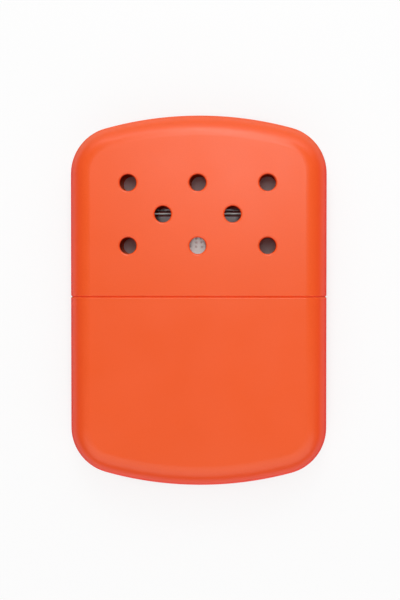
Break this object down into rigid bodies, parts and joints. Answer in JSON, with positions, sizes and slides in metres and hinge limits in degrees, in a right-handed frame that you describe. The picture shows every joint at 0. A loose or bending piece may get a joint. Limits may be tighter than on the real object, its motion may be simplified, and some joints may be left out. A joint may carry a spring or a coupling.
{
  "type": "catalytic hand warmer",
  "caption": "Pocket catalytic hand warmer: a slip-on vented lid over a wadding-filled tank, with a push-on burner under the lid.",
  "frame": {"origin": "middle of the back face's plane, centred on the outline", "axes": "lying on its back: +Z out of the front face, +Y towards the lid's crown, +X to the right seen from the front"},
  "size_m": [0.0684, 0.099, 0.014],
  "materials": {
    "orange_coat": "matte, finely textured",
    "tinned_steel": "satin",
    "burner_steel": "satin, slightly heat-toned",
    "wire_steel": "bright",
    "catalyst_fibre": "matte fibre",
    "cotton": "matte fibre",
    "felt": "matte felt"
  },
  "bodies": {
    "tank": {"tank_shell": "orange_coat", "tank_cover": "tinned_steel", "filler_neck": "tinned_steel", "wadding_front": "cotton", "wadding_middle": "cotton", "wadding_rear": "cotton", "wick_pad": "felt"},
    "lid": {"lid_shell": "orange_coat"},
    "burner": {"burner_socket": "burner_steel", "burner_front_shell": "burner_steel", "burner_rear_shell": "burner_steel", "burner_top_plate": "burner_steel", "burner_end_cheek_left": "burner_steel", "burner_end_cheek_right": "burner_steel", "support_screen": "burner_steel", "catalyst_mat": "catalyst_fibre", "guard_wire_front": "wire_steel", "guard_wire_rear": "wire_steel"}
  },
  "joints": [
    {"name": "lid_slide", "type": "slide", "parent": "tank", "child": "lid", "axis": [0, 1, 0], "range_m": [0, 0.045]},
    {"name": "burner_slide", "type": "slide", "parent": "tank", "child": "burner", "axis": [0, 1, 0], "range_m": [0, 0.012]}
  ]
}
